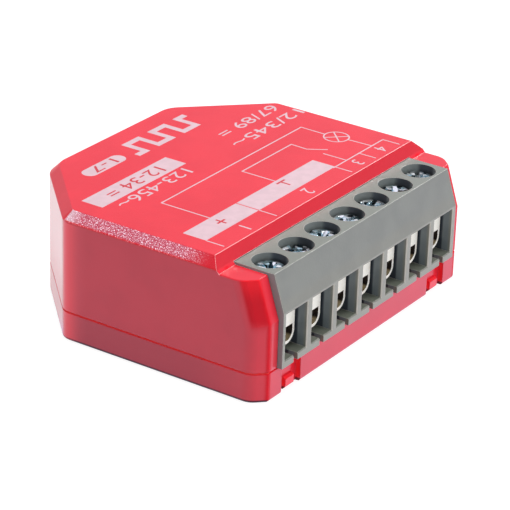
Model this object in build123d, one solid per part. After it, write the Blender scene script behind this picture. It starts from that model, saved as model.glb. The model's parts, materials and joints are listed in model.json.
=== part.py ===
from build123d import *
import math
import os

# A relay module for a wall box: a two-part plastic case with a row of seven screw terminals along
# one long side and, inside, a mains supply, a relay and a radio board on one printed board.
# Millimetres. X runs along the terminal row, -Y is the side where the wires go in, +Z is the
# printed face. The origin is the middle of the underside.

# Fits and shared small sizes
running_gap = 0.05
slide_gap = 0.15
part_gap = 0.3
overrun = 1.0
root_two = math.sqrt(2)

# Case shells
case_depth = 37.0
case_wall = 1.2
case_roof = 1.15
case_floor = 1.0
front_post = 3.15
front_setback = 0.6
rear_corner_cut = 10.0
rear_side_round = 2.0
rear_round = 4.0
front_corner_facet = 1.5
front_side_round = 2.0
front_round = 0.5
rim_chamfer = 1.1
lean_height = 9.2
shoulder_step = 0.25
roof_setback = 7.0
slope_run = 1.3
top_edge_round = 0.15
shoulder_edge_round = 0.15
foot_round = 0.35
seam_height = 3.45
seam_gap = 0.12
seam_round = 0.12
tongue_thickness = 0.5
tongue_height = 0.8
tongue_gap = 0.1
catch_length = 4.0
catch_depth = 0.15
catch_height = 0.3

# Release notches in the front of the base
notch_width = 3.7
notch_depth = 0.65
tab_width = 1.6
tab_height = 1.25
tab_rise = 0.35
tab_setback = 0.15

# Main board and the posts under it
board_thickness = 1.0
board_lift = 0.05
board_gap = 0.2
board_post_radius = 1.2
board_post_inset = 2.6
lead_reach = 0.5

# Terminal block
terminal_count = 7
terminal_pitch = 5.08
slot_divider = 0.95
block_end_wall = 0.545
block_depth = 10.0
block_floor = 0.8
block_lean_height = 10.07
block_lean_run = 1.4
slot_height = 5.45
slot_edge_bevel = 0.12
floor_slit = 0.8
block_front_wall = 1.3
screw_offset = 3.73
seat_web = 0.7

# Cage clamps and their contact bars
clamp_side_gap = 0.265
clamp_depth = 4.5
clamp_sheet = 0.35
clamp_corner_round = 1.35
clamp_drop = 0.45
clamp_rise = 1.45
clamp_apron = 0.4
wire_opening = 1.75
nut_thickness = 1.65
bar_width = 2.0
bar_thickness = 0.8
pin_width = 1.0
pin_inset = 0.8

# Terminal screws
screw_head_radius = 1.7
screw_head_height = 1.2
screw_head_round = 0.22
screw_hole_gap = 0.3
screw_recess = 0.75
screw_shank_radius = 1.45
screw_tip_gap = 0.25
screw_tip_bevel = 0.3
driver_slot_width = 0.55
driver_slot_depth = 0.5
cross_arm_width = 0.6
cross_top_radius = 1.25
cross_bottom_radius = 0.4
cross_depth = 0.95
screw_turn_shares = (0.58, 0.29, 0.5, 0.86, 0.08, 0.66, 0.21)

# Push button in the underside, its switch and its light
button_radius = 2.0
button_flange = 0.6
button_flange_thickness = 0.35
button_recess = 0.15
button_edge_round = 0.2
button_side_gap = 0.1
switch_width = 3.2
switch_depth = 2.8
switch_height = 0.8
stem_radius = 0.7
stem_bore_depth = 0.5
light_width = 1.6
light_depth = 0.8
light_height = 0.6
button_place_shares = (0.58, 0.3)

# Supply capacitors
capacitor_radius = 4.0
capacitor_length = 11.5
capacitor_groove = 0.35
capacitor_lead_spacing = 3.5
capacitor_lead_reach = 0.7

# Relay
relay_depth = 10.2
relay_headroom = 0.4
relay_wall = 0.5
relay_standoff = 0.1
relay_base_thickness = 1.3
yoke_thickness = 0.9
yoke_width = 7.0
coil_flange_radius = 3.3
coil_flange_thickness = 0.6
coil_tube_wall = 0.5
coil_wire_margin = 0.4
core_radius = 1.3
core_gap = 0.02
armature_thickness = 0.8
armature_width = 6.4
armature_play = 0.03
armature_air_gap = 0.35
armature_tongue = 1.6
card_thickness = 0.45
card_width = 3.0
card_end = 0.5
card_slot_gap = 0.07
contact_air_gap = 0.45
contact_radius = 0.9
contact_height = 0.4
leaf_thickness = 0.25
leaf_width = 3.6
leaf_tongue = 1.2
strip_thickness = 0.4
strip_clearance = 0.85
contact_drop = 1.7
leaf_end_space = 1.2
leaf_root_height = 0.6
relay_pin_width = 0.8

# Other parts of the mains supply
choke_radius = 3.2
choke_height = 7.5
choke_flange = 1.0
choke_waist = 1.6
varistor_radius = 3.5
varistor_thickness = 3.4
varistor_edge_round = 1.0
fuse_radius = 1.4
fuse_length = 7.0
fuse_cap = 1.0
fuse_cap_step = 0.15
lead_radius = 0.3
lead_run = 0.9
rectifier_size = (4.8, 4.0, 1.6)
converter_size = (4.9, 3.9, 1.45)
diode_size = (4.3, 2.6, 2.0)
transistor_size = (2.9, 1.4, 1.0)
rectifier_leg_count = 2
converter_leg_count = 4
diode_leg_count = 1
transistor_leg_count = 2
chip_lead = (0.8, 0.45, 0.2)
chip_lift = 0.1
output_capacitor_radius = 2.5
output_capacitor_height = 6.0

# Radio board
radio_width = 19.0
radio_thickness = 0.8
radio_headroom = 0.6
can_width = 9.5
can_height = 7.5
can_depth = 1.7
can_sheet = 0.2
radio_chip_size = 5.0
radio_chip_height = 0.85
crystal_size = (2.5, 0.7, 2.0)
aerial_trace = 0.5
aerial_thickness = 0.1
aerial_height = 6.0
aerial_teeth = 4
header_pins = 9
header_pitch = 1.27
header_depth = 1.0
header_height = 1.5
header_pin_width = 0.4

# Heights, from the underside up
board_top = seam_height + board_lift
board_bottom = board_top - board_thickness
slot_floor = board_top + block_floor
slot_top = slot_floor + slot_height
clamp_bottom = slot_floor + clamp_drop + slide_gap
bar_bottom = clamp_bottom + clamp_sheet + wire_opening
bar_top = bar_bottom + bar_thickness
nut_bottom = bar_top + clamp_drop + 2 * running_gap
clamp_top = nut_bottom + nut_thickness
cavity_top = clamp_top + clamp_rise + slide_gap
screw_seat = cavity_top + seat_web
head_bottom = screw_seat + running_gap
head_top = head_bottom + screw_head_height
block_top = head_top + screw_recess
shoulder_height = block_top - shoulder_step
roof_inside = block_top + running_gap
case_height = roof_inside + case_roof

# Widths, along the terminal row
slot_width = terminal_pitch - slot_divider
clamp_width = slot_width - 2 * clamp_side_gap
block_width = (terminal_count - 1) * terminal_pitch + slot_width + 2 * block_end_wall
case_width = block_width + 2 * front_post
inside_half_width = case_width / 2 - case_wall
terminal_places = [terminal_pitch * (i - (terminal_count - 1) / 2) for i in range(terminal_count)]
notch_places = (-(terminal_places[-1] - tab_setback), terminal_places[-1] - tab_setback)

# Depths, from the front of the terminal block back
block_front = -case_depth / 2
block_rear = block_front + block_depth
case_front = block_front + front_setback
screw_row = block_front + screw_offset
inside_rear = case_depth / 2 - case_wall
roof_front = case_front + roof_setback
slope_foot = roof_front - slope_run
lean_slope = block_lean_run / (block_top - block_lean_height)
shoulder_front = case_front + lean_slope * (shoulder_height - lean_height)

# The clamps, front to back, and the contact bars' legs
clamp_front = screw_row - clamp_depth / 2
clamp_rear = clamp_front + clamp_depth
leg_rear = block_rear - pin_inset
leg_front = leg_rear - bar_thickness

# The push button under the board
button_x = inside_half_width * button_place_shares[0]
button_y = inside_rear * button_place_shares[1]
flange_bottom = case_floor + running_gap
flange_top = flange_bottom + button_flange_thickness
switch_bottom = board_bottom - switch_height
button_travel = switch_bottom - flange_top - running_gap

# First row of tall parts behind the terminal block: two capacitors and the relay
row_front = block_rear + part_gap
capacitor_rear = row_front + capacitor_length
capacitor_z = board_top + running_gap + capacitor_radius
capacitor_places = (-inside_half_width + part_gap + capacitor_radius,
                    -inside_half_width + 3 * capacitor_radius + 3 * part_gap)
capacitor_lead_y = capacitor_rear + capacitor_lead_reach

# The relay, worked out from its right end: leaf, contacts, armature and then the coil
relay_left = capacitor_places[1] + capacitor_radius + 2 * part_gap
relay_right = inside_half_width - part_gap
relay_rear = row_front + relay_depth
relay_y = (row_front + relay_rear) / 2
relay_bottom = board_top + relay_standoff
relay_top = roof_inside - relay_headroom
relay_floor = relay_bottom + relay_base_thickness
leaf_right = relay_right - relay_wall - leaf_end_space
leaf_left = leaf_right - leaf_thickness
strip_right = leaf_left - 2 * contact_height - contact_air_gap
strip_left = strip_right - strip_thickness
armature_left = strip_left - strip_clearance - armature_thickness
yoke_right = armature_left - armature_play
yoke_left = relay_left + relay_wall + slide_gap
yoke_top = relay_floor + yoke_thickness
coil_left = yoke_left + yoke_thickness
pole_face = armature_left - armature_air_gap
coil_right = pole_face - core_gap - coil_flange_thickness / 2
coil_z = yoke_top + running_gap + coil_flange_radius
card_top = relay_top - relay_wall - 2 * running_gap - slide_gap
card_bottom = card_top - card_thickness
contact_z = card_bottom - contact_drop
leaf_root = relay_floor + leaf_root_height

# Second row, behind the first
second_row = capacitor_lead_y + 2 * part_gap
choke_x = capacitor_places[0] + part_gap + choke_radius / 2
choke_y = second_row + choke_radius
varistor_x = choke_x + choke_radius + part_gap + varistor_radius
varistor_y = second_row + varistor_thickness / 2
varistor_z = board_top + part_gap + varistor_radius
fuse_drop = fuse_length / 2 + lead_run
fuse_x = choke_x + choke_radius + part_gap + lead_radius + fuse_drop
fuse_y = second_row + varistor_thickness + part_gap + fuse_radius + fuse_cap_step
fuse_z = board_top + running_gap + fuse_radius + fuse_cap_step
rectifier_x = fuse_x + fuse_drop + lead_radius + part_gap + rectifier_size[0] / 2 + chip_lead[0]
output_x = rectifier_x + rectifier_size[0] / 2 + chip_lead[0] + part_gap + output_capacitor_radius
converter_x = output_x + output_capacitor_radius + part_gap + converter_size[0] / 2
chip_row = second_row + converter_size[1] / 2 + chip_lead[0]
small_row = second_row + 2 * output_capacitor_radius + part_gap + diode_size[1] / 2

# The radio board stands across the rear of the main board
can_rear = inside_rear - part_gap
radio_rear = can_rear - can_depth
radio_front = radio_rear - radio_thickness
radio_top = roof_inside - radio_headroom
header_y = radio_front - header_depth / 2
can_x = -can_width / 3
can_bottom = (board_top + radio_top - can_height) / 2
aerial_left = can_x + can_width / 2 + crystal_size[0] + 2 * part_gap
aerial_right = radio_width / 2 - part_gap
aerial_bottom = (board_top + radio_top - aerial_height) / 2


def block_of(x0, x1, y0, y1, z0, z1):
    """Rectangular solid between two corners."""
    return Pos((x0 + x1) / 2, (y0 + y1) / 2, (z0 + z1) / 2) * Box(x1 - x0, y1 - y0, z1 - z0)


def block_on(x, y, z, size):
    """Rectangular solid of a given size, standing at the height z, centred on x and y."""
    width, depth, height = size
    return Pos(x, y, z + height / 2) * Box(width, depth, height)


def rod_z(x, y, z0, z1, radius):
    """Upright cylinder."""
    return Pos(x, y, (z0 + z1) / 2) * Cylinder(radius, z1 - z0)


def rod_x(x0, x1, y, z, radius):
    """Cylinder lying along X."""
    return Pos((x0 + x1) / 2, y, z) * Rot(0, 90, 0) * Cylinder(radius, x1 - x0)


def rod_y(x, y0, y1, z, radius):
    """Cylinder lying along Y."""
    return Pos(x, (y0 + y1) / 2, z) * Rot(90, 0, 0) * Cylinder(radius, y1 - y0)


def prism_x(points, x0, x1):
    """Outline given as (y, z) points, carried along X from x0 to x1."""
    face = make_face(Polyline([(x0, y, z) for y, z in points], close=True))
    return extrude(face, amount=x1 - x0, dir=(1, 0, 0))


def prism_z(points, z0, z1):
    """Outline given as (x, y) points, carried up from z0 to z1."""
    face = make_face(Polyline([(x, y, z0) for x, y in points], close=True))
    return extrude(face, amount=z1 - z0, dir=(0, 0, 1))


def plan_points(inset):
    """Plan of the case, its two rear corners cut at 45 degrees, moved in by inset on every side."""
    half = case_width / 2 - inset
    rear = case_depth / 2 - inset
    front = case_front + inset
    cut = rear_corner_cut - inset * (2 - root_two)
    return [(-half, front), (half, front), (half, rear - cut), (half - cut, rear),
            (cut - half, rear), (-half, rear - cut)]


def upright_edges(solid, at_rear, on_side_wall):
    """Edges that run up the case at its front or rear, those on the side walls or the others."""
    edges = [e for e in solid.edges()
             if abs(e.tangent_at(0.5).Z) > 0.9 and (e.center().Y > 0) == at_rear]
    widest = max(abs(e.center().X) for e in edges)
    return [e for e in edges if (abs(e.center().X) > widest - running_gap) == on_side_wall]


def softened_uprights(solid, inset):
    """Facet the two front corners and round every upright edge of a form moved in by inset."""
    facet = front_corner_facet - inset * (2 - root_two)
    solid = chamfer(upright_edges(solid, False, True), facet)
    for at_rear, on_side_wall, radius in ((False, True, front_side_round),
                                          (False, False, front_round),
                                          (True, True, rear_side_round),
                                          (True, False, rear_round)):
        if radius > inset:
            solid = fillet(upright_edges(solid, at_rear, on_side_wall), radius - inset)
    return solid


def plan_prism(inset, z0, z1):
    """The case's plan, moved in by inset, as an upright prism with softened corners."""
    return softened_uprights(prism_z(plan_points(inset), z0, z1), inset)


def case_form():
    """Outer form of the closed case: leaning front, shoulder, slope, flat top and bevelled rim."""
    side = [(case_front, 0), (case_front, lean_height), (shoulder_front, shoulder_height),
            (slope_foot, shoulder_height), (roof_front, case_height),
            (case_depth / 2, case_height), (case_depth / 2, 0)]
    half = case_width / 2
    solid = prism_x(side, -half, half) & prism_z(plan_points(0), 0, case_height)
    solid = softened_uprights(solid, 0)
    top = solid.faces().sort_by(Axis.Z)[-1]
    rim = [e for e in top.edges() if e.center().Y > roof_front + running_gap]
    solid = chamfer(rim, rim_chamfer)
    shoulder = [e for e in solid.edges() if abs(e.center().Z - shoulder_height) < running_gap
                and e.center().Y < slope_foot - running_gap]
    solid = fillet(shoulder, shoulder_edge_round)
    return fillet(solid.faces().sort_by(Axis.Z)[-1].edges(), top_edge_round)


def mirrored(x):
    """The two places at x and -x."""
    return (-x, x)


def tongue_ring(inset, rise):
    """Ring between the case wall's inner face and the inset, standing on the seam."""
    ring = plan_prism(inset, seam_height, seam_height + rise)
    ring -= plan_prism(case_wall, seam_height - overrun, seam_height + rise + overrun)
    return ring - block_room(seam_height - overrun)


def block_room(bottom):
    """Space for the terminal block in the case, open at the front."""
    half = block_width / 2 + running_gap
    return block_of(-half, half, block_front - overrun, block_rear + part_gap, bottom, roof_inside)


def catches(outset):
    """Catches on the tongue: one on each side wall, one at the rear, standing out by outset."""
    face = inside_half_width + tongue_thickness
    rear = inside_rear + tongue_thickness
    low = seam_height + catch_height
    high = low + catch_height
    half = catch_length / 2
    shapes = [block_of(-half, half, rear - tongue_gap, rear + outset, low, high)]
    for side in (-1, 1):
        near, far = sorted((side * (face - tongue_gap), side * (face + outset)))
        shapes.append(block_of(near, far, -half, half, low, high))
    return shapes


def top_shell():
    """Upper shell: outer form above the seam, hollow inside, open in front for the block."""
    half = case_width / 2
    low = seam_height + seam_gap
    shell = case_form() & block_of(-half, half, block_front, case_depth / 2, low, case_height)
    lower_rim = shell.faces().sort_by(Axis.Z)[0].edges()
    shell = fillet(lower_rim, seam_round)
    inside = [(case_front + case_wall, 0), (case_front + case_wall, lean_height),
              (shoulder_front + case_wall, shoulder_height - case_roof),
              (slope_foot + case_wall, shoulder_height - case_roof),
              (roof_front + case_wall, roof_inside), (inside_rear, roof_inside), (inside_rear, 0)]
    shell -= prism_x(inside, -half, half) & plan_prism(case_wall, 0, roof_inside)
    shell -= block_room(0)
    shell -= tongue_ring(case_wall - tongue_thickness - tongue_gap, tongue_height + tongue_gap)
    for catch in catches(catch_depth + tongue_gap):
        shell -= catch
    return shell


def base_shell():
    """Lower shell: floor, wall, tongue, board posts, button hole and the two front notches."""
    half = case_width / 2
    shell = case_form() & block_of(-half, half, block_front, case_depth / 2, 0, seam_height)
    shell = fillet(shell.faces().sort_by(Axis.Z)[0].edges(), foot_round)
    shell = fillet(shell.faces().sort_by(Axis.Z)[-1].edges(), seam_round)
    shell -= plan_prism(case_wall, case_floor, seam_height + overrun)
    shell += tongue_ring(case_wall - tongue_thickness, tongue_height)
    for catch in catches(catch_depth):
        shell += catch
    for x in mirrored(inside_half_width - board_post_inset):
        for y in (case_front + case_wall + board_post_inset, capacitor_lead_y - capacitor_radius):
            shell += rod_z(x, y, case_floor - running_gap, board_bottom, board_post_radius)
    for x in mirrored(inside_half_width / 2):
        y = inside_rear - board_post_inset
        shell += rod_z(x, y, case_floor - running_gap, board_bottom, board_post_radius)
    hole = button_radius + button_side_gap
    shell -= rod_z(button_x, button_y, -overrun, case_floor + overrun, hole)
    for x in notch_places:
        shell -= block_of(x - notch_width / 2, x + notch_width / 2, case_front - overrun,
                          case_front + notch_depth, -overrun, seam_height + overrun)
        shell += release_tab(x)
    return shell


def release_tab(x):
    """Small tab that stands in a notch, its top sloping up towards the wall behind."""
    front = case_front + tab_setback
    back = case_front + notch_depth + running_gap
    side = [(front, foot_round), (front + foot_round, 0), (back, 0), (back, tab_height + tab_rise),
            (front, tab_height)]
    return prism_x(side, x - tab_width / 2, x + tab_width / 2)


def terminal_block():
    """Grey block: seven wire slots, cage rooms, screw wells and channels for the contact bars."""
    side = [(block_front, board_top), (block_front, block_lean_height),
            (block_front + block_lean_run, block_top), (block_rear, block_top),
            (block_rear, board_top)]
    block = prism_x(side, -block_width / 2, block_width / 2)
    half = slot_width / 2
    for x in terminal_places:
        block -= block_of(x - half, x + half, block_front - overrun, screw_row,
                          slot_floor, slot_top)
    mouths = [e for e in block.edges() if abs(e.center().Y - block_front) < slot_edge_bevel
              and slot_floor - running_gap < e.center().Z < slot_top + running_gap
              and abs(e.center().X) < block_width / 2 - running_gap]
    block = chamfer(mouths, slot_edge_bevel)
    for x in terminal_places:
        block -= terminal_room(x)
    return block


def terminal_room(x):
    """What is cut from the block behind one slot: cage room, bar channel, screw well and slit."""
    half = slot_width / 2
    bar = bar_width / 2 + running_gap
    room = block_of(x - half, x + half, block_front + block_front_wall, clamp_rear + slide_gap,
                    slot_floor, cavity_top)
    room += block_of(x - bar, x + bar, screw_row, leg_rear + running_gap,
                     bar_bottom - running_gap, bar_top + running_gap)
    room += block_of(x - bar, x + bar, leg_front - running_gap, leg_rear + running_gap,
                     board_top - overrun, bar_top + running_gap)
    room += rod_z(x, screw_row, screw_seat, block_top + overrun, screw_head_radius + screw_hole_gap)
    room += rod_z(x, screw_row, bar_top, screw_seat + running_gap, screw_shank_radius + slide_gap)
    room += block_of(x - floor_slit / 2, x + floor_slit / 2, block_front - overrun, clamp_rear,
                     board_top - overrun, slot_floor + running_gap)
    return room


def contact_bar(x):
    """Flat bar inside the cage, with a leg at the rear that ends in a pin through the board."""
    half = bar_width / 2
    front = clamp_front + clamp_apron + slide_gap
    bar = block_of(x - half, x + half, front, leg_rear, bar_bottom, bar_top)
    bar += block_of(x - half, x + half, leg_front, leg_rear, board_top + running_gap, bar_top)
    bar += block_of(x - pin_width / 2, x + pin_width / 2, leg_front, leg_rear,
                    board_bottom - lead_reach, bar_top)
    return bar


def clamp_cage(x):
    """Bent sheet loop with a rounded foot, closed at the top by the nut that the screw turns in."""
    half = clamp_width / 2
    inner = half - clamp_sheet
    cage = block_of(x - half, x + half, clamp_front, clamp_rear, clamp_bottom, clamp_top)
    feet = cage.edges().filter_by(Axis.Y).group_by(Axis.Z)[0]
    cage = fillet(feet, clamp_corner_round)
    window = block_of(x - inner, x + inner, clamp_front - overrun, clamp_rear + overrun,
                      clamp_bottom + clamp_sheet, nut_bottom)
    feet = window.edges().filter_by(Axis.Y).group_by(Axis.Z)[0]
    cage -= fillet(feet, clamp_corner_round - clamp_sheet)
    cage += block_of(x - inner - running_gap, x + inner + running_gap, clamp_front,
                     clamp_front + clamp_apron, bar_bottom, nut_bottom + running_gap)
    cage -= rod_z(x, screw_row, bar_bottom, clamp_top + overrun, screw_shank_radius + running_gap)
    return cage


def clamp_screw(x, turn_share):
    """Captive screw: round head with a slot and a tapered cross in it, over a plain shank."""
    head = fillet(Cylinder(screw_head_radius, screw_head_height).edges().group_by(Axis.Z)[-1],
                  screw_head_round)
    head = Pos(0, 0, head_bottom + screw_head_height / 2) * head
    slot = block_of(-screw_head_radius, screw_head_radius, -driver_slot_width / 2,
                    driver_slot_width / 2, head_top - driver_slot_depth, head_top + overrun)
    arm = cross_arm_width / 2
    reach = screw_head_radius
    cross = block_of(-reach, reach, -arm, arm, head_top - cross_depth, head_top)
    cross += block_of(-arm, arm, -reach, reach, head_top - cross_depth, head_top)
    taper = Cone(cross_bottom_radius, cross_top_radius, cross_depth)
    cross &= Pos(0, 0, head_top - cross_depth / 2) * taper
    tip = bar_top + screw_tip_gap
    shank = Cylinder(screw_shank_radius, head_bottom - tip)
    shank = chamfer(shank.edges().group_by(Axis.Z)[0], screw_tip_bevel)
    screw = head - slot - cross + Pos(0, 0, (head_bottom + tip) / 2) * shank
    return Pos(x, screw_row, 0) * Rot(0, 0, turn_share * 180) * screw


def control_button():
    """Round button that fills its hole from inside, held by a flange."""
    cap = Cylinder(button_radius, flange_top - button_recess)
    cap = fillet(cap.edges().group_by(Axis.Z)[0], button_edge_round)
    cap = Pos(button_x, button_y, (flange_top + button_recess) / 2) * cap
    flange = button_radius + button_flange
    return cap + rod_z(button_x, button_y, flange_bottom, flange_top, flange)


def switch_stem():
    """Stem between the button and the switch under the board."""
    high = switch_bottom + stem_bore_depth - button_travel - running_gap
    return rod_z(button_x, button_y, flange_top, high, stem_radius)


def switch_body():
    """Flat switch soldered under the board, bored for the stem."""
    size = (switch_width, switch_depth, switch_height)
    body = block_on(button_x, button_y, switch_bottom, size)
    bore = stem_radius + running_gap
    return body - rod_z(button_x, button_y, switch_bottom - overrun,
                        switch_bottom + stem_bore_depth, bore)


def status_light():
    """Small light beside the switch, over the button's edge."""
    x = button_x - switch_width / 2 - light_width / 2 - slide_gap
    size = (light_width, light_depth, light_height)
    return block_on(x, button_y, board_bottom - light_height, size)


def capacitor(x):
    """Can lying on the board, its rubber end and pressed groove towards the rear."""
    can = Cylinder(capacitor_radius, capacitor_length)
    can = fillet(can.edges().filter_by(GeomType.CIRCLE), capacitor_groove)
    can = Pos(x, row_front + capacitor_length / 2, capacitor_z) * Rot(90, 0, 0) * can
    groove = capacitor_rear - capacitor_radius / 2
    ring = rod_y(x, groove - capacitor_groove, groove, capacitor_z, capacitor_radius + overrun)
    waist = capacitor_radius - capacitor_groove
    ring -= rod_y(x, groove - overrun, groove + overrun, capacitor_z, waist)
    return can - ring


def bent_lead(x, y, end_y, z):
    """Wire from a part's end at y, out to end_y and down through the board."""
    low = board_bottom - lead_reach
    near, far = sorted((y, end_y))
    lead = rod_y(x, near, far, z, lead_radius)
    return lead + rod_z(x, end_y, low, z, lead_radius) + Pos(x, end_y, z) * Sphere(lead_radius)


def capacitor_lead_places():
    """Both leads of both capacitors, along X."""
    half = capacitor_lead_spacing / 2
    return [x + side * half for x in capacitor_places for side in (-1, 1)]


def relay_case():
    """Box over the relay, open below."""
    case = block_of(relay_left, relay_right, row_front, relay_rear, relay_bottom, relay_top)
    return case - block_of(relay_left + relay_wall, relay_right - relay_wall,
                           row_front + relay_wall, relay_rear - relay_wall,
                           relay_bottom - overrun, relay_top - relay_wall)


def relay_pin_rooms(gap):
    """Coil pins, leaf post and fixed strip as (x, half width along X, half width along Y)."""
    coil_pin = (coil_left + relay_pin_width, relay_pin_width / 2 + gap)
    strip = ((strip_left + strip_right) / 2, strip_thickness / 2 + gap)
    post = ((leaf_left + leaf_right) / 2, strip_thickness / 2 + gap)
    return coil_pin, strip, post


def relay_base():
    """Plate that closes the relay below, with holes for its pins."""
    inset = relay_wall + running_gap
    plate = block_of(relay_left + inset, relay_right - inset, row_front + inset,
                     relay_rear - inset, relay_bottom, relay_floor)
    coil_pin, strip, post = relay_pin_rooms(running_gap)
    half = relay_pin_width / 2 + running_gap
    for x, reach in (strip, post):
        plate -= block_of(x - reach, x + reach, relay_y - half, relay_y + half,
                          relay_bottom - overrun, relay_floor + overrun)
    for y in coil_pin_rows():
        plate -= block_of(coil_pin[0] - coil_pin[1], coil_pin[0] + coil_pin[1], y - half, y + half,
                          relay_bottom - overrun, relay_floor + overrun)
    return plate


def coil_pin_rows():
    """The coil pins stand one each side of the yoke."""
    reach = yoke_width / 2 + relay_pin_width / 2 + slide_gap
    return (relay_y - reach, relay_y + reach)


def coil_pin(y):
    """Square pin from the coil's end down through the board."""
    x, half = relay_pin_rooms(0)[0]
    return block_of(x - half, x + half, y - half, y + half, board_bottom - lead_reach,
                    relay_floor + relay_pin_width)


def relay_yoke():
    """L-shaped iron yoke: a plate under the coil and one behind it."""
    half = yoke_width / 2
    top = coil_z + coil_flange_radius
    yoke = block_of(yoke_left, yoke_right, relay_y - half, relay_y + half, relay_floor, yoke_top)
    yoke += block_of(yoke_left, coil_left, relay_y - half, relay_y + half, relay_floor, top)
    return yoke - rod_x(yoke_left - overrun, coil_left + overrun, relay_y, coil_z,
                        core_radius + core_gap)


def coil_bobbin():
    """Spool: a tube round the core with a flange at each end."""
    tube = core_radius + core_gap + coil_tube_wall
    left = coil_left + core_gap
    spool = rod_x(left, coil_right, relay_y, coil_z, tube)
    spool += rod_x(left, left + coil_flange_thickness, relay_y, coil_z, coil_flange_radius)
    spool += rod_x(coil_right - coil_flange_thickness, coil_right, relay_y, coil_z,
                   coil_flange_radius)
    return spool - rod_x(left - overrun, coil_right + overrun, relay_y, coil_z,
                         core_radius + core_gap)


def coil_winding():
    """Wire wound on the spool, as one ring."""
    tube = core_radius + 2 * core_gap + coil_tube_wall
    left = coil_left + 2 * core_gap + coil_flange_thickness
    right = coil_right - coil_flange_thickness - core_gap
    wire = rod_x(left, right, relay_y, coil_z, coil_flange_radius - coil_wire_margin)
    return wire - rod_x(left - overrun, right + overrun, relay_y, coil_z, tube)


def armature():
    """Iron plate that tips about the yoke's edge, with a tongue that carries the card."""
    half = armature_width / 2
    tongue = armature_tongue / 2
    right = armature_left + armature_thickness
    plate = block_of(armature_left, right, relay_y - half, relay_y + half,
                     relay_floor + running_gap, card_bottom - 2 * running_gap)
    return plate + block_of(armature_left, right, relay_y - tongue, relay_y + tongue,
                            card_bottom - 3 * running_gap, card_top + running_gap)


def contact_leaf():
    """Spring leaf that stands on its post, with a tongue that the card moves."""
    half = leaf_width / 2
    tongue = leaf_tongue / 2
    leaf = block_of(leaf_left, leaf_right, relay_y - half, relay_y + half,
                    leaf_root + running_gap, card_bottom - running_gap)
    return leaf + block_of(leaf_left, leaf_right, relay_y - tongue, relay_y + tongue,
                           card_bottom - 2 * running_gap, card_top + running_gap)


def relay_card():
    """Plastic link with a window for the armature's tongue and one for the leaf's."""
    half = card_width / 2
    armature_right = armature_left + armature_thickness
    card = block_of(armature_left - card_slot_gap - card_end, leaf_right + card_slot_gap + card_end,
                    relay_y - half, relay_y + half, card_bottom, card_top)
    for left, right, tongue in ((armature_left, armature_right, armature_tongue),
                                (leaf_left, leaf_right, leaf_tongue)):
        reach = tongue / 2 + card_slot_gap
        card -= block_of(left - card_slot_gap, right + card_slot_gap, relay_y - reach,
                         relay_y + reach, card_bottom - overrun, card_top + overrun)
    return card


def fixed_strip():
    """Strip that carries the fixed contact, down to a pin through the board."""
    half = leaf_width / 2
    pin = relay_pin_width / 2
    strip = block_of(strip_left, strip_right, relay_y - half, relay_y + half,
                     relay_floor + running_gap, card_bottom - part_gap)
    return strip + block_of(strip_left, strip_right, relay_y - pin, relay_y + pin,
                            board_bottom - lead_reach, relay_floor + 2 * running_gap)


def leaf_post():
    """Post under the leaf, down to a pin through the board."""
    x, reach = relay_pin_rooms(0)[2]
    half = leaf_width / 2
    pin = relay_pin_width / 2
    post = block_of(x - reach, x + reach, relay_y - half, relay_y + half,
                    relay_floor + running_gap, leaf_root)
    return post + block_of(x - reach, x + reach, relay_y - pin, relay_y + pin,
                           board_bottom - lead_reach, relay_floor + 2 * running_gap)


def choke_core():
    """Ferrite drum standing on the board."""
    low = board_top + running_gap
    drum = rod_z(choke_x, choke_y, low, low + choke_height, choke_waist)
    for z in (low, low + choke_height - choke_flange):
        drum += rod_z(choke_x, choke_y, z, z + choke_flange, choke_radius)
    return drum


def choke_winding():
    """Wire wound between the drum's flanges, as one ring."""
    low = board_top + running_gap + choke_flange + core_gap
    high = board_top + running_gap + choke_height - choke_flange - core_gap
    wire = rod_z(choke_x, choke_y, low, high, choke_radius - slide_gap)
    return wire - rod_z(choke_x, choke_y, low - overrun, high + overrun, choke_waist + core_gap)


def varistor_lead_places():
    """The varistor's two wires, along X."""
    return (varistor_x - varistor_radius / 2, varistor_x + varistor_radius / 2)


def varistor():
    """Coated disc standing on edge, bored for its two wires."""
    disc = Cylinder(varistor_radius, varistor_thickness)
    disc = fillet(disc.edges().filter_by(GeomType.CIRCLE), varistor_edge_round)
    disc = Pos(varistor_x, varistor_y, varistor_z) * Rot(90, 0, 0) * disc
    for x in varistor_lead_places():
        disc -= rod_z(x, varistor_y, board_top, varistor_z, lead_radius + core_gap)
    return disc


def fuse_resistor():
    """Small barrel lying on the board, with a cap at each end."""
    half = fuse_length / 2
    barrel = rod_x(fuse_x - half, fuse_x + half, fuse_y, fuse_z, fuse_radius)
    for side in (-1, 1):
        near, far = sorted((side * half, side * (half - fuse_cap)))
        barrel += rod_x(fuse_x + near, fuse_x + far, fuse_y, fuse_z, fuse_radius + fuse_cap_step)
    return barrel


def fuse_lead(side):
    """Wire from one end of the barrel, bent down through the board."""
    end = fuse_x + side * fuse_length / 2
    drop = fuse_x + side * fuse_drop
    near, far = sorted((end, drop))
    lead = rod_x(near, far, fuse_y, fuse_z, lead_radius)
    lead += rod_z(drop, fuse_y, board_bottom - lead_reach, fuse_z, lead_radius)
    return lead + Pos(drop, fuse_y, fuse_z) * Sphere(lead_radius)


def chip(x, y, size):
    """Moulded chip body, just clear of the board."""
    width, depth, height = size
    return block_on(x, y, board_top + chip_lift, (width, depth, height - chip_lift))


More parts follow.
